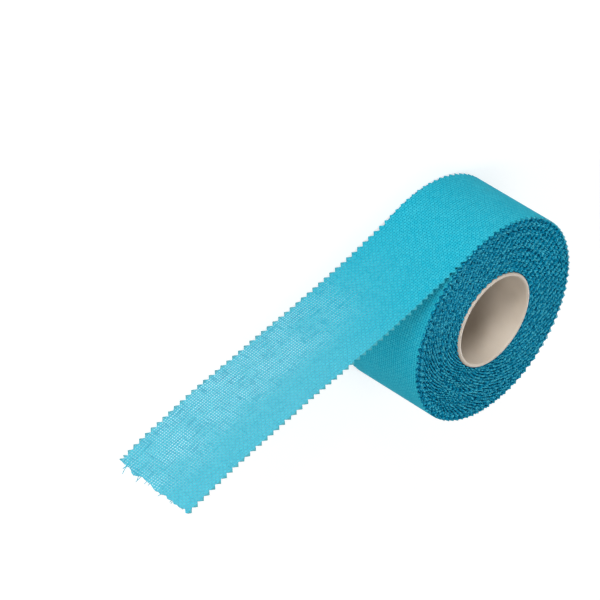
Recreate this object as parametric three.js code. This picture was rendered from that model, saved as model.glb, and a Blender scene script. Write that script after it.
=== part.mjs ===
// A roll of pinked cotton finger and hand tape on a thin plastic core, with its free end
// pulled off the roll. Millimetres, +Z up. The roll stands on one end face, its axis is
// vertical, and the free tail leaves the front of the roll and runs towards +X.
import * as THREE from 'three';

// Driving dimensions.
const TAPE_WIDTH = 25;            // tooth tip to tooth tip, and the height of the roll
const ROLL_RADIUS = 28;           // outer face of the outermost lap
const CORE_RADIUS = 13;           // outside of the core
const CORE_WALL = 1;
const TURNS = 71;                 // turns of tape between the core and the outside
const TOOTH_PITCH = 2;
const TOOTH_DEPTH = 1;
const TAIL_LENGTH = 100;
const TAIL_SWAY = 0.16;           // steepest slope of the tail against the X axis, in radians
const CORE_INSET = 0.2;           // the core stops this far short of each end face
const CORE_LIP = 0.25;            // chamfer on the core's rims

// Worked out from them.
const LAYER = (ROLL_RADIUS - CORE_RADIUS) / TURNS;   // one turn: cloth and adhesive
const ADHESIVE = 0.06;
const BOND_GAP = 0.02;            // keeps the cloth and adhesive solids apart
const CLOTH = LAYER - ADHESIVE - BOND_GAP;
const ADHESIVE_INSET = 0.1;       // the coat stops this far short of the pinked edge
const FIT_GAP = 0.3;              // between solids that touch on the real roll

// How finely curves are cut.
const PATH_STEP = 0.1;
const ROUND_SEGMENTS = 72;
const OUTLINE_STEP = Math.PI / 90;

// The outermost lap lifts off in short sections, and the tail bends in longer ones.
const LAP_SECTIONS = 6;
const LAP_TEETH = 6;
const TAIL_SECTIONS = 5;
const LAP_LENGTH = LAP_TEETH * TOOTH_PITCH;
const TAIL_SECTION_LENGTH = TAIL_LENGTH / TAIL_SECTIONS;
const LAP_ARC = LAP_SECTIONS * LAP_LENGTH / ROLL_RADIUS;

const COLOURS = { cloth: '#4fbcd0', wound: '#2b8ba4', adhesive: '#d9e6e4', core: '#e9e2d6' };

function clothMaterial() {
  return new THREE.MeshStandardMaterial({ color: COLOURS.cloth, roughness: 0.9, metalness: 0 });
}

function adhesiveMaterial() {
  return new THREE.MeshStandardMaterial({ color: COLOURS.adhesive, roughness: 0.55, metalness: 0 });
}

// Radius of the roll's outer surface at an angle of travel, in radians. The tape leaves the
// roll at travel 0, at the full radius, and one turn earlier it lies one layer further in.
function spiralRadius(travel) {
  return ROLL_RADIUS + LAYER * travel / (2 * Math.PI);
}

// Where the tape's outer face is, a distance s along it from the point where it leaves the
// roll: on the roll for s below 0 and along the tail above it. The normal points outwards.
function tapeStation(s) {
  if (s <= 0) {
    const travel = s / ROLL_RADIUS;
    const angle = travel - Math.PI / 2;
    const normal = new THREE.Vector2(Math.cos(angle), Math.sin(angle));
    return { point: normal.clone().multiplyScalar(spiralRadius(travel)), normal };
  }
  const steps = Math.ceil(s / PATH_STEP);
  const point = new THREE.Vector2(0, -ROLL_RADIUS);
  for (let i = 0; i < steps; i += 1) {
    const heading = tailHeading((i + 0.5) * s / steps);
    point.x += Math.cos(heading) * s / steps;
    point.y += Math.sin(heading) * s / steps;
  }
  const heading = tailHeading(s);
  return { point, normal: new THREE.Vector2(Math.sin(heading), -Math.cos(heading)) };
}

// The pulled tail sways out from the roll and straightens again before its end.
function tailHeading(s) {
  return -TAIL_SWAY * Math.sin(Math.PI * s / TAIL_LENGTH);
}

// How far the pinked edge is cut back at s: nothing at a tip, the tooth depth in a valley.
function pinkedCut(s) {
  const phase = Math.abs(s / TOOTH_PITCH - Math.round(s / TOOTH_PITCH));
  return TOOTH_DEPTH * (1 - 2 * phase);
}

// A closed ribbon along the tape from one s to another, between two depths below the outer
// face, with a pinked top and bottom edge. edgeInset draws both edges in.
function ribbon(from, to, depthOut, depthIn, edgeInset) {
  const stops = [from];
  const half = TOOTH_PITCH / 2;
  for (let i = Math.floor(from / half) + 1; i * half < to - 1e-6; i += 1) {
    stops.push(i * half);
  }
  stops.push(to);
  const positions = [];
  for (const s of stops) {
    const { point, normal } = tapeStation(s);
    const low = pinkedCut(s) + edgeInset;
    const high = TAPE_WIDTH - low;
    for (const depth of [depthOut, depthIn]) {
      const x = point.x - normal.x * depth;
      const y = point.y - normal.y * depth;
      positions.push(x, y, low, x, y, high);
    }
  }
  // Four corners at each stop: outer low, outer high, inner low, inner high.
  const index = [];
  const quad = (a, b, c, d) => index.push(a, b, c, a, c, d);
  for (let i = 0; i < stops.length - 1; i += 1) {
    const a = 4 * i;
    const b = a + 4;
    quad(a, b, b + 1, a + 1);
    quad(a + 3, b + 3, b + 2, a + 2);
    quad(a + 1, b + 1, b + 3, a + 3);
    quad(a + 2, b + 2, b, a);
  }
  const last = 4 * (stops.length - 1);
  quad(0, 1, 3, 2);
  quad(last, last + 2, last + 3, last + 1);
  const geometry = new THREE.BufferGeometry();
  geometry.setAttribute('position', new THREE.Float32BufferAttribute(positions, 3));
  geometry.setIndex(index);
  geometry.computeVertexNormals();
  return geometry;
}

// One section of the tape: its cloth backing and the adhesive coat on its inner face.
function tapeSection(name, from, length) {
  const start = from + FIT_GAP / 2;
  const end = from + length - FIT_GAP / 2;
  const cloth = new THREE.Mesh(ribbon(start, end, 0, CLOTH, 0), clothMaterial());
  cloth.name = `${name}_cloth`;
  const coat = ribbon(start, end, CLOTH + BOND_GAP, LAYER, ADHESIVE_INSET);
  const adhesive = new THREE.Mesh(coat, adhesiveMaterial());
  adhesive.name = `${name}_adhesive`;
  return [cloth, adhesive];
}

// The core: a thin tube with softened lips, a little shorter than the tape is wide.
function coreMesh() {
  const inner = CORE_RADIUS - CORE_WALL;
  const bottom = CORE_INSET;
  const top = TAPE_WIDTH - bottom;
  const profile = [
    [inner + CORE_LIP, bottom],
    [CORE_RADIUS - CORE_LIP, bottom],
    [CORE_RADIUS, bottom + CORE_LIP],
    [CORE_RADIUS, top - CORE_LIP],
    [CORE_RADIUS - CORE_LIP, top],
    [inner + CORE_LIP, top],
    [inner, top - CORE_LIP],
    [inner, bottom + CORE_LIP],
    [inner + CORE_LIP, bottom],
  ].map(([r, z]) => new THREE.Vector2(r, z));
  const geometry = new THREE.LatheGeometry(profile, ROUND_SEGMENTS);
  geometry.rotateX(Math.PI / 2);
  const material = new THREE.MeshStandardMaterial({ color: COLOURS.core, roughness: 0.5, metalness: 0 });
  const mesh = new THREE.Mesh(geometry, material);
  mesh.name = 'core';
  return mesh;
}

// All the turns that stay on the roll, as one ring. Its outside follows the spiral, and it is
// cut back under the lap that lifts off.
function woundTapeMesh() {
  const outline = new THREE.Shape();
  const underTail = -2 * Math.PI;
  const lapStart = -LAP_ARC - FIT_GAP / ROLL_RADIUS;
  const ring = [];
  const addArc = (from, to, drop) => {
    const count = Math.round((to - from) / OUTLINE_STEP);
    for (let i = 0; i <= count; i += 1) {
      const travel = from + (to - from) * i / count;
      const radius = spiralRadius(travel) - drop;
      const angle = travel - Math.PI / 2;
      ring.push(new THREE.Vector2(radius * Math.cos(angle), radius * Math.sin(angle)));
    }
  };
  addArc(underTail + FIT_GAP / ROLL_RADIUS, lapStart, 0);
  addArc(lapStart, 0, LAYER + FIT_GAP);
  outline.setFromPoints(ring);
  const bore = new THREE.Path();
  bore.absarc(0, 0, CORE_RADIUS + FIT_GAP, 0, 2 * Math.PI, true);
  outline.holes.push(bore);
  const geometry = new THREE.ExtrudeGeometry(outline, {
    depth: TAPE_WIDTH,
    bevelEnabled: false,
    curveSegments: ROUND_SEGMENTS,
  });
  const material = new THREE.MeshStandardMaterial({ color: COLOURS.wound, roughness: 0.95, metalness: 0 });
  const mesh = new THREE.Mesh(geometry, material);
  mesh.name = 'wound_tape';
  return mesh;
}

const roll = new THREE.Group();
roll.add(coreMesh(), woundTapeMesh());
for (let i = 1; i <= LAP_SECTIONS; i += 1) {
  roll.add(...tapeSection(`lap_${i}`, (i - 1 - LAP_SECTIONS) * LAP_LENGTH, LAP_LENGTH));
}
for (let i = 1; i <= TAIL_SECTIONS; i += 1) {
  roll.add(...tapeSection(`tail_${i}`, (i - 1) * TAIL_SECTION_LENGTH, TAIL_SECTION_LENGTH));
}

// The origin is on the floor, under the middle of the whole part.
const middle = new THREE.Box3().setFromObject(roll).getCenter(new THREE.Vector3());
roll.position.set(-middle.x, -middle.y, 0);
const part = new THREE.Group();
part.add(roll);

export default part;
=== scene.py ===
"""A roll of pinked cotton finger tape on a thin plastic core, its free end pulled off straight.

The tape is one strip. It is built along its length, s in millimetres from the point where it
leaves the roll: the winding and the outer lap lie below 0, the tail above it. z runs across the
strip, from 0 on the floor to TAPE_WIDTH.
"""
import math

import bpy
import numpy as np
from mathutils import Matrix, Vector, noise


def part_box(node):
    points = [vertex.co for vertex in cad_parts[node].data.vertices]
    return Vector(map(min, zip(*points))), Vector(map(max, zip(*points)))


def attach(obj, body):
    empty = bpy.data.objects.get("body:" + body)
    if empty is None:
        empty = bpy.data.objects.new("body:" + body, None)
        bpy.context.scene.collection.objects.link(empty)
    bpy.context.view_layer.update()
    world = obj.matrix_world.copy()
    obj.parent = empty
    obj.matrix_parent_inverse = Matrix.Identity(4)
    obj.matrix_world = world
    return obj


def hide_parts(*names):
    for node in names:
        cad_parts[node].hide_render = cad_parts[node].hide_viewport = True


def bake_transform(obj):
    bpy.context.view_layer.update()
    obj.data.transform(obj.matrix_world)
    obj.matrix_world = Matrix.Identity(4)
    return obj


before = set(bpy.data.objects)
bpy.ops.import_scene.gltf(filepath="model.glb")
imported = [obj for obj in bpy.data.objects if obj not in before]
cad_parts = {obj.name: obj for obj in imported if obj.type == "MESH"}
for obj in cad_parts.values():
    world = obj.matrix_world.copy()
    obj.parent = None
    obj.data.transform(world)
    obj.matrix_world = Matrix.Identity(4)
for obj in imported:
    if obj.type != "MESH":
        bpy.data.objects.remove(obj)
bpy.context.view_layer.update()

MM = 0.001

# ---------------------------------------------------------------------------- the tape's facts

ROLL_RADIUS = 28.0
TURNS = 71
TOOTH_PITCH = 2.0
TOOTH_DEPTH = 1.0
TAIL_LENGTH = 100.0
TAIL_SWAY = 0.16          # steepest slope of the tail against the X axis, in radians
ADHESIVE = 0.06
TURN_GAP = 0.015          # keeps one turn's faces off the next turn's
COAT_GAP = 0.002          # keeps the adhesive's outer faces off the cloth's inner ones
WARP_PITCH = 0.66         # between the lengthwise threads
WEFT_PITCH = 0.62         # between the crosswise threads

core_low, core_high = (Vector(corner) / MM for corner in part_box("core"))
wound_low, wound_high = (Vector(corner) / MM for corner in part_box("wound_tape"))
AXIS = (core_low + core_high) / 2
ROLL_FOOT = Vector((AXIS.x, AXIS.y, 0))
CORE_RADIUS = (core_high.x - core_low.x) / 2
CORE_WALL = 1.0
TAPE_WIDTH = wound_high.z - wound_low.z
LAYER = (ROLL_RADIUS - CORE_RADIUS) / TURNS      # what one turn adds to the radius
CLOTH = LAYER - ADHESIVE - TURN_GAP

LAP_LENGTH = 12.0
LAP_COUNT = 6
TAIL_SECTION = 20.0
TAIL_COUNT = 5
OUTER_LAP = -(LAP_COUNT + 0.5) * LAP_LENGTH      # where the winding ends and the first lap starts


# --------------------------------------------------------------------------------- the camera

CAMERA_DISTANCE = 1.2
CAMERA_LENS = 298.5
CAMERA_CLIP = 20
CAMERA_ANGLES = (22.9, 31.5, 121.85)             # azimuth, elevation and roll, in degrees
LOOKED_AT = Vector((33.2, -25.1, -3.4))          # in mm, from the foot of the roll's axis


def add_camera():
    """A long lens from the photo's side. The roll angle turns the picture."""
    azimuth, elevation, roll = (math.radians(angle) for angle in CAMERA_ANGLES)
    back = Vector((
        math.sin(azimuth) * math.cos(elevation),
        -math.cos(azimuth) * math.cos(elevation),
        math.sin(elevation),
    ))
    level = Vector((math.cos(azimuth), math.sin(azimuth), 0))
    upright = back.cross(level)
    right = level * math.cos(roll) + upright * math.sin(roll)
    up = back.cross(right)
    data = bpy.data.cameras.new("photo_camera")
    data.lens = CAMERA_LENS
    data.clip_end = CAMERA_CLIP
    camera = bpy.data.objects.new("photo_camera", data)
    axes = Matrix((right, up, back)).transposed().to_4x4()
    target = LOOKED_AT * MM + ROLL_FOOT * MM
    camera.matrix_world = Matrix.Translation(target + back * CAMERA_DISTANCE) @ axes
    bpy.context.collection.objects.link(camera)
    bpy.context.scene.camera = camera


add_camera()


# ---------------------------------------------------------------------------- node shorthands

class Nodes:
    """Adds nodes to one material and links them by plain calls."""

    def __init__(self, name):
        self.material = bpy.data.materials.new(name)
        self.material.use_nodes = True
        self.tree = self.material.node_tree
        self.shader = self.tree.nodes["Principled BSDF"]

    def add(self, kind, *inputs, **settings):
        node = self.tree.nodes.new(kind)
        for key, value in settings.items():
            setattr(node, key, value)
        for index, value in enumerate(inputs):
            self.feed(node.inputs[index], value)
        return node

    def feed(self, socket, value):
        if isinstance(value, bpy.types.NodeSocket):
            self.tree.links.new(value, socket)
        else:
            socket.default_value = value

    def math(self, operation, *inputs, clamp=False):
        node = self.add("ShaderNodeMath", *inputs, operation=operation, use_clamp=clamp)
        return node.outputs[0]

    def times(self, a, b):
        return self.math("MULTIPLY", a, b)

    def times_plus(self, value, factor, offset, clamp=False):
        return self.math("MULTIPLY_ADD", value, factor, offset, clamp=clamp)

    def mix(self, share, a, b):
        node = self.tree.nodes.new("ShaderNodeMix")
        node.data_type = "RGBA"
        self.feed(node.inputs["Factor"], share)
        self.feed(node.inputs["A"], a)
        self.feed(node.inputs["B"], b)
        return next(o for o in node.outputs if o.type == "RGBA")

    def ramp(self, value, low, high):
        """0 at low, 1 at high, and smooth between them. Low may be the larger of the two."""
        node = self.tree.nodes.new("ShaderNodeMapRange")
        node.interpolation_type = "SMOOTHSTEP"
        self.feed(node.inputs["Value"], value)
        node.inputs["From Min"].default_value = low
        node.inputs["From Max"].default_value = high
        return node.outputs["Result"]

    def vector(self, x, y, z):
        return self.add("ShaderNodeCombineXYZ", x, y, z).outputs[0]

    def noise(self, vector, scale=1.0, detail=2.0):
        node = self.tree.nodes.new("ShaderNodeTexNoise")
        self.feed(node.inputs["Vector"], vector)
        node.inputs["Scale"].default_value = scale
        node.inputs["Detail"].default_value = detail
        return node.outputs["Fac"]

    def streaks(self, s, z, along, across, seed, detail=2.0):
        """Noise over the tape, with that many features to a millimetre along and across it."""
        place = self.vector(self.times(s, along), self.times(z, across), seed)
        return self.noise(place, detail=detail)

    def bump(self, height, strength, distance):
        node = self.tree.nodes.new("ShaderNodeBump")
        self.feed(node.inputs["Height"], height)
        node.inputs["Strength"].default_value = strength
        node.inputs["Distance"].default_value = distance
        return node.outputs["Normal"]

    def tape(self):
        """The place along the tape and across it, in mm, and 1 on the turns that stay covered."""
        attribute = self.add("ShaderNodeAttribute", attribute_name="tape")
        return self.add("ShaderNodeSeparateXYZ", attribute.outputs["Vector"]).outputs


# ----------------------------------------------------------------------------- the materials

CLOTH_BLUE = (0.006, 0.330, 0.450, 1)
CLOTH_LIGHT = (0.038, 0.420, 0.520, 1)
# painted shade between the threads and where one goes under
CLOTH_PAINTED_SHADE = (0.000, 0.170, 0.270, 1)
# painted light shining through the open weave's gaps
PAINTED_LIGHT_THROUGH_WEAVE = (0.66, 0.82, 0.84, 1)
SLUB_BLUE = (0.003, 0.250, 0.370, 1)
EDGE_GREEN = (0.060, 0.240, 0.260, 1)
# painted shade in the valleys between the cut teeth
CUT_PAINTED_SHADE = (0.000, 0.045, 0.105, 1)
CUT_MID = (0.000, 0.220, 0.375, 1)
# painted highlight on the cut teeth's tips
CUT_PAINTED_HIGHLIGHT = (0.055, 0.430, 0.550, 1)
ADHESIVE_THIN = (0.27, 0.52, 0.60, 1)
ADHESIVE_THICK = (0.43, 0.64, 0.69, 1)
ADHESIVE_THREADS = (0.11, 0.42, 0.53, 1)
IVORY_DARK = (0.50, 0.43, 0.35, 1)
IVORY_LIGHT = (0.57, 0.50, 0.42, 1)

THREAD_WANDER = 0.9       # how far a thread strays from its straight line
SLUB_RANGE = (0.52, 0.74) # the noise between which a thread turns from plain to thick
OPEN_LENGTH = 62.0        # the tail's weave opens up over this length
OPEN_ROWS = (21.0, 9.0)   # nearly closed above the first z, and open below the second
CUT_BAND = (1.8, 1.3)     # the cut ends' colour, with its painted highlights and shade, comes in between these distances from an edge
TOOTH_BAND = (1.1, 0.2)   # and the dull colour of the tail's teeth between these


def plain_weave(nodes, s, z):
    """A plain weave's height, which thread is on top, and the hole left between four threads."""
    wander = nodes.streaks(s, z, 0.25, 0.25, seed=6.0)
    across = nodes.times(nodes.times_plus(wander, THREAD_WANDER, z), math.pi / WARP_PITCH)
    along = nodes.times(nodes.times_plus(wander, -THREAD_WANDER, s), math.pi / WEFT_PITCH)
    cos_across = nodes.math("COSINE", across)
    cos_along = nodes.math("COSINE", along)
    warp = nodes.times(cos_across, cos_across)
    weft = nodes.times(cos_along, cos_along)
    over = nodes.times_plus(nodes.times(cos_across, cos_along), 0.5, 0.5)
    under = nodes.math("SUBTRACT", 1.0, over)
    height = nodes.math("ADD", nodes.times(warp, over), nodes.times(weft, under))
    hole = nodes.times(nodes.ramp(warp, 0.52, 0.12), nodes.ramp(weft, 0.80, 0.25))
    return height, over, hole


def slub_pattern(nodes, s, z):
    """1 on the thick threads, lengthwise and crosswise."""
    lengthwise = nodes.streaks(s, z, 0.18, 1.9, seed=0.0, detail=3.0)
    crosswise = nodes.streaks(s, z, 1.9, 0.24, seed=4.0, detail=3.0)
    thick = (nodes.ramp(threads, *SLUB_RANGE) for threads in (lengthwise, crosswise))
    return nodes.math("MAXIMUM", *thick)


def opening(nodes, s, z, slubs, blotches):
    """How far the tail is pulled out at a place, and how open the weave is there."""
    towards_edge = nodes.times_plus(nodes.ramp(z, *OPEN_ROWS), 0.8, 0.2)
    pulled = nodes.times(nodes.ramp(s, 0.0, OPEN_LENGTH), towards_edge)
    patches = nodes.times_plus(nodes.ramp(blotches, 0.62, 0.36), 0.5, 0.5)
    thin_threads = nodes.times_plus(slubs, -0.9, 1.0)
    return pulled, nodes.times(nodes.times(pulled, patches), thin_threads)


def cut_colour_with_painted_light(nodes, s, z, edge):
    """The wound turns' cut ends: painted highlights on the tips over painted shade in the valleys, in
    faint rings about the core.
    """
    radius = nodes.math("SQRT", nodes.times_plus(s, LAYER / math.pi, ROLL_RADIUS ** 2))
    rings = nodes.noise(nodes.vector(nodes.times(radius, 0.9), 0.0, 9.0), detail=1.0)
    fray = nodes.streaks(s, z, 2.6, 1.2, seed=2.0)
    painted_light_and_fray = nodes.times_plus(rings, 0.35, nodes.times_plus(edge, -0.42, fray))
    colour = nodes.mix(nodes.ramp(painted_light_and_fray, 0.26, 0.52), CUT_PAINTED_SHADE, CUT_MID)
    return nodes.mix(nodes.ramp(painted_light_and_fray, 0.54, 0.74), colour, CUT_PAINTED_HIGHLIGHT)


def cloth_material():
    nodes = Nodes("woven_cotton")
    s, z, covered = nodes.tape()
    height, over, hole = plain_weave(nodes, s, z)
    slubs = slub_pattern(nodes, s, z)
    blotches = nodes.streaks(s, z, 0.11, 0.13, seed=8.0, detail=3.0)
    fluff = nodes.streaks(s, z, 1.5, 1.5, seed=4.5)
    pulled, opened = opening(nodes, s, z, slubs, blotches)

    # The woven face: blue threads, the thick ones darker, painted shade in the gaps and where a
    # thread goes under, and painted light shining through the gaps where it is open.
    tone = nodes.times_plus(nodes.ramp(fluff, 0.30, 0.70), 0.5, nodes.times(blotches, 0.5))
    colour = nodes.mix(tone, CLOTH_BLUE, CLOTH_LIGHT)
    slub_share = nodes.times(slubs, nodes.times_plus(pulled, 0.78, 0.08))
    colour = nodes.mix(slub_share, colour, SLUB_BLUE)
    # Painted shade: darker in the gaps between threads and where a thread goes under.
    shade = nodes.times_plus(over, -0.3, nodes.times_plus(hole, 0.8, 0.25), clamp=True)
    colour = nodes.mix(shade, colour, CLOTH_PAINTED_SHADE)
    # Painted light: a faint pale haze along the tail, and pale open gaps, as if light shone through
    # the weave.
    colour = nodes.mix(nodes.times(nodes.ramp(s, 15.0, 60.0), 0.06), colour, PAINTED_LIGHT_THROUGH_WEAVE)
    colour = nodes.mix(nodes.times(hole, nodes.times(opened, 0.66)), colour, PAINTED_LIGHT_THROUGH_WEAVE)

    # The edges: dull teeth on the tail, and cut ends on the turns that stay covered, with painted
    # highlights on their tips and painted shade in their valleys.
    edge = nodes.math("MINIMUM", z, nodes.math("SUBTRACT", TAPE_WIDTH, z))
    tooth = nodes.times(nodes.ramp(edge, *TOOTH_BAND), nodes.ramp(s, 0.0, 30.0))
    colour = nodes.mix(nodes.times(tooth, 0.80), colour, EDGE_GREEN)
    painted_cut_share = nodes.times(covered, nodes.ramp(edge, *CUT_BAND))
    colour = nodes.mix(painted_cut_share, colour, cut_colour_with_painted_light(nodes, s, z, edge))

    nodes.feed(nodes.shader.inputs["Base Color"], colour)
    nodes.shader.inputs["Roughness"].default_value = 0.95
    nodes.shader.inputs["Specular IOR Level"].default_value = 0.02
    nodes.shader.inputs["Sheen Weight"].default_value = 0.02
    nodes.shader.inputs["Sheen Roughness"].default_value = 0.6
    relief = nodes.times_plus(slubs, 0.5, height)
    nodes.feed(nodes.shader.inputs["Normal"], nodes.bump(relief, 0.8, 0.10 * MM))
    return nodes.material


def adhesive_material():
    nodes = Nodes("adhesive_coat")
    s, z, _ = nodes.tape()
    height = plain_weave(nodes, s, z)[0]
    smear = nodes.streaks(s, z, 0.22, 1.1, seed=1.0, detail=4.0)
    specks = nodes.streaks(s, z, 2.2, 2.2, seed=11.0, detail=3.0)
    colour = nodes.mix(nodes.ramp(smear, 0.35, 0.65), ADHESIVE_THIN, ADHESIVE_THICK)
    colour = nodes.mix(nodes.times(height, 0.45), colour, ADHESIVE_THREADS)
    nodes.feed(nodes.shader.inputs["Base Color"], colour)
    nodes.feed(nodes.shader.inputs["Roughness"], nodes.times_plus(smear, 0.35, 0.30))
    relief = nodes.math("ADD", nodes.times(height, 0.5), specks)
    nodes.feed(nodes.shader.inputs["Normal"], nodes.bump(relief, 0.4, 0.04 * MM))
    return nodes.material


def core_material():
    """Ivory plastic with fine lines along the tube, as drawing it leaves."""
    nodes = Nodes("ivory_plastic")
    place = nodes.add("ShaderNodeTexCoord").outputs["Object"]
    x, y, _ = nodes.add("ShaderNodeSeparateXYZ", place).outputs
    drift = nodes.noise(place, 60.0, 4.0)
    grain = nodes.noise(place, 900.0, 3.0)
    lines = nodes.noise(nodes.vector(nodes.times(x, 1600.0), nodes.times(y, 1600.0), 0.0))
    colour = nodes.mix(nodes.ramp(drift, 0.35, 0.65), IVORY_DARK, IVORY_LIGHT)
    colour = nodes.mix(nodes.times(nodes.ramp(lines, 0.55, 0.75), 0.12), colour, IVORY_DARK)
    nodes.feed(nodes.shader.inputs["Base Color"], colour)
    nodes.feed(nodes.shader.inputs["Roughness"], nodes.times_plus(grain, 0.18, 0.33))
    nodes.shader.inputs["Subsurface Weight"].default_value = 0.08
    nodes.shader.inputs["Subsurface Radius"].default_value = (0.002, 0.0015, 0.001)
    relief = nodes.math("ADD", nodes.times(lines, 0.6), nodes.times(grain, 0.4))
    nodes.feed(nodes.shader.inputs["Normal"], nodes.bump(relief, 0.15, 0.03 * MM))
    return nodes.material


CLOTH_MATERIAL = cloth_material()
ADHESIVE_MATERIAL = adhesive_material()
CORE_MATERIAL = core_material()


# --------------------------------------------------------------------- the path of the strip

PATH_STEP = 0.02
PAST_END = 4.0            # the path runs on, because the torn end is ragged


def tail_table():
    """The tail's outer face at close steps: its distance along, x, y and heading."""
    along = np.arange(0, TAIL_LENGTH + PAST_END, PATH_STEP)
    heading = -TAIL_SWAY * np.sin(np.pi * np.minimum(along, TAIL_LENGTH) / TAIL_LENGTH)
    middle = (heading[1:] + heading[:-1]) / 2
    x = np.concatenate([[0], np.cumsum(np.cos(middle) * PATH_STEP)])
    y = -ROLL_RADIUS + np.concatenate([[0], np.cumsum(np.sin(middle) * PATH_STEP)])
    return along, x, y, heading


TAIL_TABLE = tail_table()


def tape_path(s):
    """Where the outer face is at each s, about the roll's axis, and its outward normal."""
    s = np.asarray(s, float)
    held = np.minimum(s, 0)
    travel = (np.sqrt(ROLL_RADIUS ** 2 + LAYER * held / math.pi) - ROLL_RADIUS) * 2 * math.pi / LAYER
    radius = ROLL_RADIUS + LAYER * travel / (2 * math.pi)
    angle = travel - math.pi / 2
    along, tail_x, tail_y, heading = TAIL_TABLE
    turn = np.interp(s, along, heading)
    on_tail = s > 0
    x = np.where(on_tail, np.interp(s, along, tail_x), radius * np.cos(angle))
    y = np.where(on_tail, np.interp(s, along, tail_y), radius * np.sin(angle))
    normal_x = np.where(on_tail, np.sin(turn), np.cos(angle))
    normal_y = np.where(on_tail, -np.cos(turn), np.sin(angle))
    return x, y, normal_x, normal_y


def wound_length():
    """How much tape lies between the core and the point where the tail leaves."""
    travel = 2 * math.pi * TURNS
    return ROLL_RADIUS * travel - LAYER * travel ** 2 / (4 * math.pi)


WOUND_LENGTH = wound_length()


# ------------------------------------------------------------------------ strips of the tape

STATIONS_PER_TOOTH = 4
SHARP_ANGLE = math.radians(35)


def add_piece(name, points, faces, material):
    """A new object from points in metres, smooth-shaded."""
    mesh = bpy.data.meshes.new(name)
    mesh.from_pydata(points, [], faces)
    mesh.shade_smooth()
    mesh.materials.append(material)
    piece = bpy.data.objects.new(name, mesh)
    bpy.context.collection.objects.link(piece)
    return piece


def store_tape(piece, values):
    """Stores s, z and the covered mark on the points, where the materials read them."""
    layer = piece.data.attributes.new("tape", "FLOAT_VECTOR", "POINT")
    layer.data.foreach_set("vector", np.asarray(values, np.float32).ravel())


def stations(start, end):
    """Places along the tape from start to end, a few to each tooth."""
    step = TOOTH_PITCH / STATIONS_PER_TOOTH
    count = max(1, round((end - start) / step))
    return np.linspace(start, end, count + 1)


def smooth_noise(values, scale, seed):
    """Slow noise along a row of numbers, about -1 to 1. `scale` is how slow, in their unit."""
    return np.array([
        noise.fractal(Vector((v / scale, seed, seed * 0.37)), 1.0, 2.0, 2) for v in values
    ])


def noise_grid(x, y, seed):
    """Noise over two grids of the same shape, about -1 to 1."""
    values = np.empty(x.shape)
    for place in np.ndindex(x.shape):
        values[place] = noise.fractal(Vector((x[place], y[place], seed)), 1.0, 2.0, 3)
    return values


def pinked_cut(s):
    """How far the pinked edge is cut back at s: 0 at a tip and TOOTH_DEPTH in a valley."""
    phase = np.abs(s / TOOTH_PITCH - np.round(s / TOOTH_PITCH))
    return TOOTH_DEPTH * (1 - 2 * phase)


def strip_mesh(name, s, z, depth_out, depth_in, lift, covered, material):
    """A closed strip. s, z and lift are grids: stations along the tape by rows across it."""
    x, y, normal_x, normal_y = tape_path(s)
    grids = []
    for depth in (depth_out, depth_in):
        off = lift - depth
        grids.append(np.stack([AXIS.x + x + normal_x * off, AXIS.y + y + normal_y * off, z], axis=-1))
    points = np.stack(grids, axis=2) * MM
    count, rows = s.shape
    index = np.arange(count * rows * 2).reshape(count, rows, 2)
    outer, inner = index[:, :, 0], index[:, :, 1]

    def quads(a, b, c, d):
        return np.stack([a.ravel(), b.ravel(), c.ravel(), d.ravel()], axis=-1)

    faces = np.concatenate([
        quads(outer[:-1, :-1], outer[1:, :-1], outer[1:, 1:], outer[:-1, 1:]),
        quads(inner[:-1, 1:], inner[1:, 1:], inner[1:, :-1], inner[:-1, :-1]),
        quads(outer[:-1, 0], inner[:-1, 0], inner[1:, 0], outer[1:, 0]),
        quads(outer[:-1, -1], outer[1:, -1], inner[1:, -1], inner[:-1, -1]),
        quads(outer[0, :-1], outer[0, 1:], inner[0, 1:], inner[0, :-1]),
        quads(outer[-1, :-1], inner[-1, :-1], inner[-1, 1:], outer[-1, 1:]),
    ])
    piece = add_piece(name, points.reshape(-1, 3).tolist(), faces.tolist(), material)
    piece.data.set_sharp_from_angle(angle=SHARP_ANGLE)
    tape = np.stack([s, z, np.broadcast_to(covered, s.shape)], axis=-1)
    store_tape(piece, np.repeat(tape[:, :, None, :], 2, axis=2))
    return piece


# ------------------------------------------------------------------------- the wound turns

SETTLE_LENGTH = 60.0      # below the outer lap the winding goes from true to uneven over this
ALIGNED_ANGLE = -1.29     # the teeth line up here, in radians from where the tail leaves
RIM_CLEARANCE = 0.35      # the core's rim stands this far clear of the first turns
RIM_LENGTH = 150.0        # and less and less clear over this length of tape
WOUND_CUT = 0.8           # the depth of the wound teeth, as a share of TOOTH_DEPTH
TOOTH_FOOT = 1.7          # the inner rows of points lie this far from the edges
RAGGED = 0.12             # the most that a point of the cut strays across the tape
LEAN = 0.035              # the standard deviation of how far it strays off the tape's face
CUT_FADE = 2.0            # the cut ends' colour, with its painted highlights and shade, comes in over this length


def aligned_slip(s):
    """The small slip that lines the teeth up from turn to turn on one side of the roll."""
    travel = ALIGNED_ANGLE - 2 * math.pi * np.arange(-1, TURNS + 1)
    knots = ROLL_RADIUS * travel + LAYER * travel ** 2 / (4 * math.pi)
    teeth = knots / TOOTH_PITCH
    return np.interp(s, knots[::-1], (np.round(teeth) - teeth)[::-1] * TOOTH_PITCH)


def wound_drift(s, settle):
    """How far each place stands towards one end face: slow waves, and whole rings of turns."""
    radius = np.sqrt(ROLL_RADIUS ** 2 + LAYER * s / math.pi)
    waves = 0.12 * smooth_noise(s, 150, 1.7) + 0.08 * smooth_noise(s, 14, 5.2)
    rings = 0.16 * smooth_noise(radius, 0.9, 4.4)
    near_core = np.clip(1 - (s + WOUND_LENGTH) / RIM_LENGTH, 0, 1)
    return settle * (waves + rings) - RIM_CLEARANCE * near_core


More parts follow.
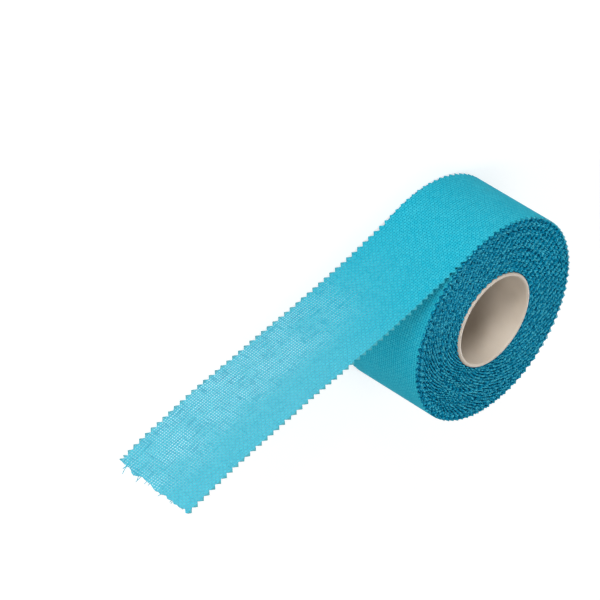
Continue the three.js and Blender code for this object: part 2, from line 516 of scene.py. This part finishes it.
def wound_cut(s, settle):
    """The cut of the wound edge: its teeth slip along, and no two are quite alike."""
    loose = 0.6 * smooth_noise(s, 60, 2.9) + 0.3 * smooth_noise(s, 7, 8.8)
    slip = settle * (aligned_slip(s) + loose)
    return WOUND_CUT * pinked_cut(s + slip) * (1 + 0.25 * settle * smooth_noise(s, 3.0, 9.4))


def wound_piece(name, start, end):
    """Turns that stay on the roll, with the small misalignments of a real winding."""
    s = stations(start, end)
    rng = np.random.default_rng(int(abs(start)))
    settle = np.clip((OUTER_LAP - s) / SETTLE_LENGTH, 0, 1)
    cut = wound_cut(s, settle)
    shift = wound_drift(s, settle) + settle * rng.uniform(-RAGGED, RAGGED, s.size)
    low = np.clip(cut + shift, 0.0, None)
    high = np.clip(TAPE_WIDTH - cut + shift, None, TAPE_WIDTH)
    foot = np.full(s.size, TOOTH_FOOT)
    z = np.stack([low, foot, TAPE_WIDTH - foot, high], axis=-1)
    lean = settle * rng.normal(0, LEAN, s.size) * (1 - cut / TOOTH_DEPTH)
    flat = np.zeros(s.size)
    lift = np.stack([lean, flat, flat, lean], axis=-1)
    grid = np.repeat(s[:, None], z.shape[1], axis=1)
    seen = 2 * math.pi * ROLL_RADIUS - OUTER_LAP      # the last turn, and what the laps uncover
    covered = np.clip((-seen - grid) / CUT_FADE, 0, 1)
    return strip_mesh(name, grid, z, 0, LAYER - TURN_GAP, lift, covered, CLOTH_MATERIAL)


def wound_turns():
    """The winding in three pieces of about the same length, cut at whole numbers of teeth."""
    ends = [-WOUND_LENGTH * 0.66, -WOUND_LENGTH * 0.33, OUTER_LAP]
    ends = [round(end / TOOTH_PITCH) * TOOTH_PITCH for end in ends]
    starts = [-WOUND_LENGTH] + ends[:-1]
    for part, start, end in zip(("inner", "middle", "outer"), starts, ends):
        piece = wound_piece(f"wound_turns_{part}", start, end)
        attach(piece, "roll")
        if part == "inner":
            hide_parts("wound_tape")


wound_turns()


# ------------------------------------------------------------- the outer lap and the tail

TAIL_ROWS = 30            # inner rows of points across the free tape
ROW_MARGIN = 0.35         # between the teeth's valleys and the first inner row
COAT_INSET = 0.12         # the adhesive stops short of the cut edge
TORN_LENGTH = 4.0         # the tear shifts this much of the tail's end
TORN_RAGGED = 0.8         # the height of its ragged line
TORN_GRAIN = 1.6          # and how slowly it varies across the tape
TORN_SKEW = 1.2           # how much further it runs at one edge than at the other
TORN_SHORT = 0.7          # how far it falls short of the square cut at the middle
LIFT_LENGTH = 25.0        # the tail's waves grow to full height over this
WAVE_HEIGHT = 0.32
WAVE_ALONG = 22.0         # how slowly the waves vary along the tape
WAVE_ACROSS = 15.0
BELLY_HEIGHT = 0.35       # how far the tail's middle stands out


def tail_lift(s, z):
    """How far the pulled tape stands off its path: slow waves, nothing on the roll."""
    free = np.clip(s / LIFT_LENGTH, 0, 1) ** 2
    waves = WAVE_HEIGHT * noise_grid(s / WAVE_ALONG, z / WAVE_ACROSS, 3.1)
    along = np.clip(s / TAIL_LENGTH, 0, 1)
    belly = BELLY_HEIGHT * np.sin(np.pi * z / TAPE_WIDTH) * np.sin(np.pi * along)
    return free * (waves + belly)


def tear(s, z):
    """How far the torn end runs past a square cut: ragged, and a little askew."""
    near_end = np.clip((s - (TAIL_LENGTH - TORN_LENGTH)) / TORN_LENGTH, 0, 1)
    ragged = TORN_RAGGED * noise_grid(np.full(s.shape, 0.5), z / TORN_GRAIN, 7.7)
    askew = TORN_SKEW * (z / TAPE_WIDTH - 0.5)
    return near_end * (ragged + askew - TORN_SHORT)


def free_grid(start, end, edge_inset):
    """Grids of s and z over one piece of the free tape, with pinked edges."""
    s = stations(start, end)
    cut = pinked_cut(s) * (1 + 0.25 * smooth_noise(s, 2.3, 6.1)) + edge_inset
    margin = TOOTH_DEPTH + ROW_MARGIN
    inner_rows = np.linspace(margin, TAPE_WIDTH - margin, TAIL_ROWS)
    z = np.concatenate([
        cut[:, None],
        np.repeat(inner_rows[None, :], s.size, axis=0),
        TAPE_WIDTH - cut[:, None],
    ], axis=1)
    grid = np.repeat(s[:, None], z.shape[1], axis=1)
    return grid + tear(grid, z), z


def free_sections():
    """Cloth and adhesive round each hinge, from the middle of one section to that of the next."""
    laps = [(f"lap_{i + 1}", (i - LAP_COUNT) * LAP_LENGTH, LAP_LENGTH) for i in range(LAP_COUNT)]
    tails = [(f"tail_{i + 1}", i * TAIL_SECTION, TAIL_SECTION) for i in range(TAIL_COUNT)]
    parent, start = "roll", OUTER_LAP
    for name, hinge, length in laps + tails:
        end = hinge + length / 2
        if name == tails[-1][0]:
            end = TAIL_LENGTH
        s, z = free_grid(start, end, 0.0)
        cloth = strip_mesh(f"{name}_weave", s, z, 0, CLOTH, tail_lift(s, z), 0.0, CLOTH_MATERIAL)
        s, z = free_grid(start, end, COAT_INSET)
        top, bottom = CLOTH + COAT_GAP, CLOTH + ADHESIVE
        coat = strip_mesh(f"{name}_coat", s, z, top, bottom, tail_lift(s, z), 0.0, ADHESIVE_MATERIAL)
        for piece, layer in ((cloth, "cloth"), (coat, "adhesive")):
            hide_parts(f"{name}_{layer}")
            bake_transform(piece)
        parent, start = name, end


free_sections()


# ---------------------------------------------------------------------------------- the core

CORE_LIP = 0.42           # the radius that rounds each rim's edges
CORE_SIDES = 160
LIP_STEPS = 5


def core_tube():
    """A drawn tube with rounded rims, turned about the roll's axis."""
    inner = CORE_RADIUS - CORE_WALL
    profile = []
    for centre_r, centre_z, first in (
        (CORE_RADIUS - CORE_LIP, TAPE_WIDTH - CORE_LIP, 0),
        (inner + CORE_LIP, TAPE_WIDTH - CORE_LIP, 90),
        (inner + CORE_LIP, CORE_LIP, 180),
        (CORE_RADIUS - CORE_LIP, CORE_LIP, 270),
    ):
        for step in range(LIP_STEPS + 1):
            angle = math.radians(first + 90 * step / LIP_STEPS)
            r = centre_r + CORE_LIP * math.cos(angle)
            z = centre_z + CORE_LIP * math.sin(angle)
            profile.append((r, z))
    points, faces = [], []
    size = len(profile)
    for side in range(CORE_SIDES):
        angle = 2 * math.pi * side / CORE_SIDES
        for r, z in profile:
            x, y = AXIS.x + r * math.cos(angle), AXIS.y + r * math.sin(angle)
            points.append((x * MM, y * MM, z * MM))
        here, there = side * size, (side + 1) % CORE_SIDES * size
        for i in range(size):
            j = (i + 1) % size
            faces.append((here + i, there + i, there + j, here + j))
    tube = add_piece("core_tube", points, faces, CORE_MATERIAL)
    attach(tube, "roll")
    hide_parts("core")


core_tube()


# ------------------------------------------------------------------------------ loose threads

THREAD_RADIUS = 0.075
THREAD_SIDES = 5
THREAD_STEPS = 6
TORN_THREADS = 13
FACE_THREADS = 9
FACE_ROOT = 0.9           # the face's threads start this far below it
PLAIN_PLACE = (-20.0, TAPE_WIDTH / 2, 0.0)       # a place where the cloth is neither open nor cut


def thread_points(root, ahead, length, rng):
    """A short thread's middle line: it sets out along `ahead` and curls a little."""
    sideways = Vector(rng.normal(0, 1, 3)).cross(ahead).normalized()
    curl = rng.uniform(-0.5, 0.5)
    points = []
    for step in range(THREAD_STEPS + 1):
        reach = length * step / THREAD_STEPS
        points.append(root + ahead * reach + sideways * curl * reach * reach / 5)
    return points


def threads_piece(name, lines, body):
    """Thin round threads along the given lines, all in one piece."""
    points, faces = [], []
    for line in lines:
        first = len(points)
        for k, centre in enumerate(line):
            ahead = (line[min(k + 1, len(line) - 1)] - line[max(k - 1, 0)]).normalized()
            across = ahead.orthogonal().normalized()
            other = ahead.cross(across)
            for side in range(THREAD_SIDES):
                angle = 2 * math.pi * side / THREAD_SIDES
                off = (across * math.cos(angle) + other * math.sin(angle)) * THREAD_RADIUS
                points.append((centre + off) * MM)
        for k in range(len(line) - 1):
            for side in range(THREAD_SIDES):
                a = first + k * THREAD_SIDES + side
                b = first + k * THREAD_SIDES + (side + 1) % THREAD_SIDES
                faces.append((a, b, b + THREAD_SIDES, a + THREAD_SIDES))
        last = first + (len(line) - 1) * THREAD_SIDES
        faces.append(tuple(range(first, first + THREAD_SIDES))[::-1])
        faces.append(tuple(range(last, last + THREAD_SIDES)))
    piece = add_piece(name, points, faces, CLOTH_MATERIAL)
    store_tape(piece, [PLAIN_PLACE] * len(points))
    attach(piece, body)


def loose_threads():
    """Frayed threads at the torn end, and a few that stand up from the roll's top face."""
    rng = np.random.default_rng(5)
    lines = []
    for z in rng.uniform(2.0, TAPE_WIDTH - 2.0, TORN_THREADS):
        x, y, normal_x, normal_y = tape_path(TAIL_LENGTH - rng.uniform(2.0, 2.8))
        root = Vector((AXIS.x + x, AXIS.y + y, z)) - Vector((normal_x, normal_y, 0)) * CLOTH / 2
        ahead = Vector((-normal_y, normal_x, rng.normal(0, 0.15))).normalized()
        lines.append(thread_points(root, ahead, rng.uniform(1.6, 2.9), rng))
    threads_piece("torn_end_threads", lines, f"tail_{TAIL_COUNT}")

    lines = []
    for angle in rng.uniform(0, 2 * math.pi, FACE_THREADS):
        radius = rng.uniform(CORE_RADIUS + 3, ROLL_RADIUS - 1.5)
        outward = Vector((math.cos(angle), math.sin(angle), 0))
        root = Vector((AXIS.x, AXIS.y, TAPE_WIDTH - FACE_ROOT)) + outward * radius
        ahead = (outward.orthogonal() * rng.uniform(-1, 1) + Vector((0, 0, 0.55))).normalized()
        lines.append(thread_points(root, ahead, rng.uniform(1.2, 2.0), rng))
    threads_piece("roll_face_threads", lines, "roll")


loose_threads()


# ------------------------------------------------------------------------- floor and lights

FLOOR_HALF = 1.5
FLOOR_GREY = (0.60, 0.60, 0.60, 1)
WHITE = (1, 1, 1, 1)
BORE_EDGE = (0.010, 0.014)       # metres from the roll's axis, where the floor's glow comes in
# painted shade: the floor glows less inside the bore, so the core's inside looks shaded
BORE_PAINTED_SHADE_GLOW = 0.12
NEAR_GLOW = 0.44                 # added outside the bore
FAR_EDGE = (0.25, 1.3)           # metres from the floor's middle, where more glow comes in
FAR_GLOW = 0.16                  # added beyond them
SKY_FADE = {"From Min": 0.16, "From Max": 0.34, "To Min": 1.05, "To Max": 0.26}
LAMPS = {                        # place and size across in metres, power in watts
    "key": ((-0.10, -1.0, 0.30), 0.35, 5.8),
    "top": ((0.1, -0.05, 1.2), 0.9, 3.6),
    "side": ((0.75, -0.60, 0.45), 0.3, 4.0),
    "back": ((-0.60, 1.0, 0.30), 0.4, 3.5),
}


def add_floor():
    """A pale floor that glows softly, so that it runs into the background. It glows less in the bore,
    which paints shade there.
    """
    nodes = Nodes("pale_floor")
    place = nodes.add("ShaderNodeTexCoord").outputs["Object"]
    foot = tuple(ROLL_FOOT * MM)
    reach = nodes.add("ShaderNodeVectorMath", place, operation="LENGTH").outputs["Value"]
    off_axis = nodes.add("ShaderNodeVectorMath", place, foot, operation="DISTANCE").outputs["Value"]
    # Painted shade: less glow inside the bore.
    near = nodes.times_plus(nodes.ramp(off_axis, *BORE_EDGE), NEAR_GLOW, BORE_PAINTED_SHADE_GLOW)
    far = nodes.times(nodes.ramp(reach, *FAR_EDGE), FAR_GLOW)
    nodes.shader.inputs["Base Color"].default_value = FLOOR_GREY
    nodes.shader.inputs["Roughness"].default_value = 0.9
    nodes.shader.inputs["Emission Color"].default_value = WHITE
    nodes.feed(nodes.shader.inputs["Emission Strength"], nodes.math("ADD", near, far))
    corners = [(x * FLOOR_HALF, y * FLOOR_HALF, 0) for x, y in ((-1, -1), (1, -1), (1, 1), (-1, 1))]
    add_piece("floor", corners, [(0, 1, 2, 3)], nodes.material)


def add_area_light(name, place, size, power):
    """A round lamp that faces the origin."""
    data = bpy.data.lights.new(name, "AREA")
    data.shape = "DISK"
    data.size = size
    data.energy = power
    light = bpy.data.objects.new(name, data)
    light.location = place
    light.rotation_euler = (-Vector(place)).to_track_quat("-Z", "Y").to_euler()
    bpy.context.collection.objects.link(light)


def add_sky():
    """Soft light all round, brightest from the horizon down."""
    world = bpy.data.worlds.new("studio")
    world.use_nodes = True
    tree = world.node_tree
    background = tree.nodes["Background"]
    background.inputs["Color"].default_value = WHITE
    direction = tree.nodes.new("ShaderNodeTexCoord")
    split = tree.nodes.new("ShaderNodeSeparateXYZ")
    fade = tree.nodes.new("ShaderNodeMapRange")
    fade.interpolation_type = "SMOOTHSTEP"
    for name, value in SKY_FADE.items():
        fade.inputs[name].default_value = value
    tree.links.new(direction.outputs["Generated"], split.inputs[0])
    tree.links.new(split.outputs["Z"], fade.inputs["Value"])
    tree.links.new(fade.outputs["Result"], background.inputs["Strength"])
    bpy.context.scene.world = world


bpy.context.scene.view_settings.view_transform = "Standard"
add_floor()
add_sky()
for lamp, (lamp_place, lamp_size, lamp_power) in LAMPS.items():
    add_area_light(lamp, lamp_place, lamp_size, lamp_power)
